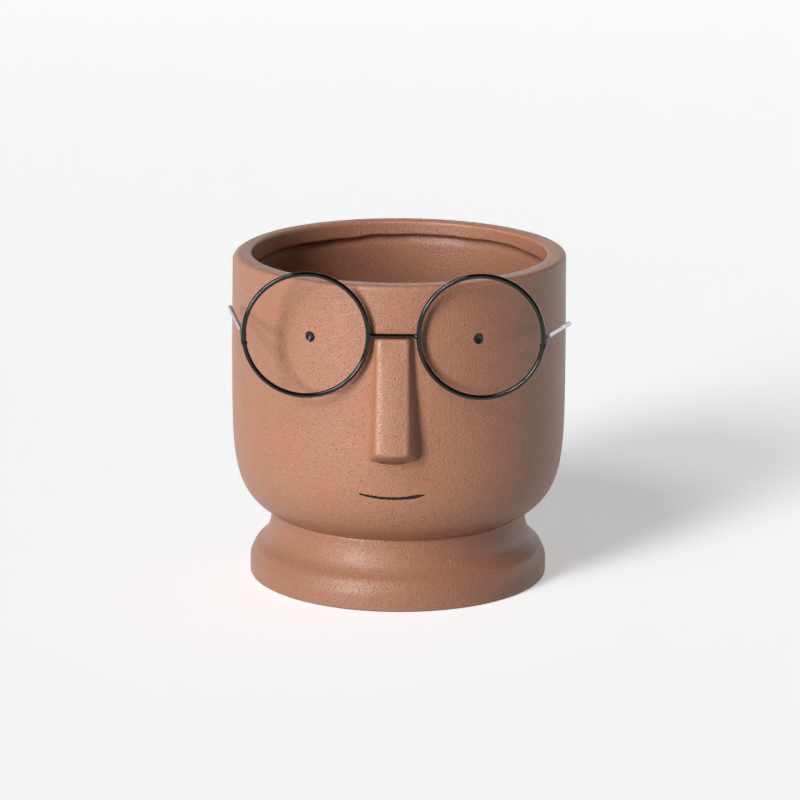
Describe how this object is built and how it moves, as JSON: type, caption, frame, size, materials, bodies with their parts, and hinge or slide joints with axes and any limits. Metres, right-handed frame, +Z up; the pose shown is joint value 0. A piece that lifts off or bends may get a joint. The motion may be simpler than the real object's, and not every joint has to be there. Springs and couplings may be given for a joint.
{
  "type": "ceramic flower pot",
  "caption": "Round ceramic flower pot on a flared foot, with a wedge nose, inlaid eyes and mouth, and wire spectacles with folding temples that lift off the nose.",
  "frame": {"origin": "middle of the flat underside of the foot", "axes": "+Z up along the pot's axis, -Y out of the face through the nose, +X to the right of someone looking at the face"},
  "size_m": [0.1332, 0.141, 0.1358],
  "materials": {
    "clay": "unglazed, matt and finely sandy",
    "enamel": "gloss black",
    "wire": "gloss black lacquer",
    "bright_wire": "bare bright drawn wire"
  },
  "bodies": {
    "pot": {"bowl": "clay", "foot": "clay", "nose": "clay", "left_eye": "enamel", "right_eye": "enamel", "mouth": "enamel"},
    "spectacles": {"left_rim": "wire", "right_rim": "wire", "bridge": "wire", "left_hinge_leaf": "wire", "right_hinge_leaf": "wire", "left_hinge_pin": "wire", "right_hinge_pin": "wire"},
    "left_temple": {"left_temple": "bright_wire"},
    "right_temple": {"right_temple": "bright_wire"}
  },
  "joints": [
    {"name": "spectacles_lift_off", "type": "slide", "parent": "pot", "child": "spectacles", "axis": [0, -1, 0], "range_m": [0, 0.08]},
    {"name": "left_temple_hinge", "type": "hinge", "parent": "spectacles", "child": "left_temple", "pos_m": [-0.0565, -0.06413, 0.11038], "axis": [0, 0, 1], "range_deg": [-5, 18]},
    {"name": "right_temple_hinge", "type": "hinge", "parent": "spectacles", "child": "right_temple", "pos_m": [0.0565, -0.06413, 0.11038], "axis": [0, 0, -1], "range_deg": [-8, 14]}
  ]
}
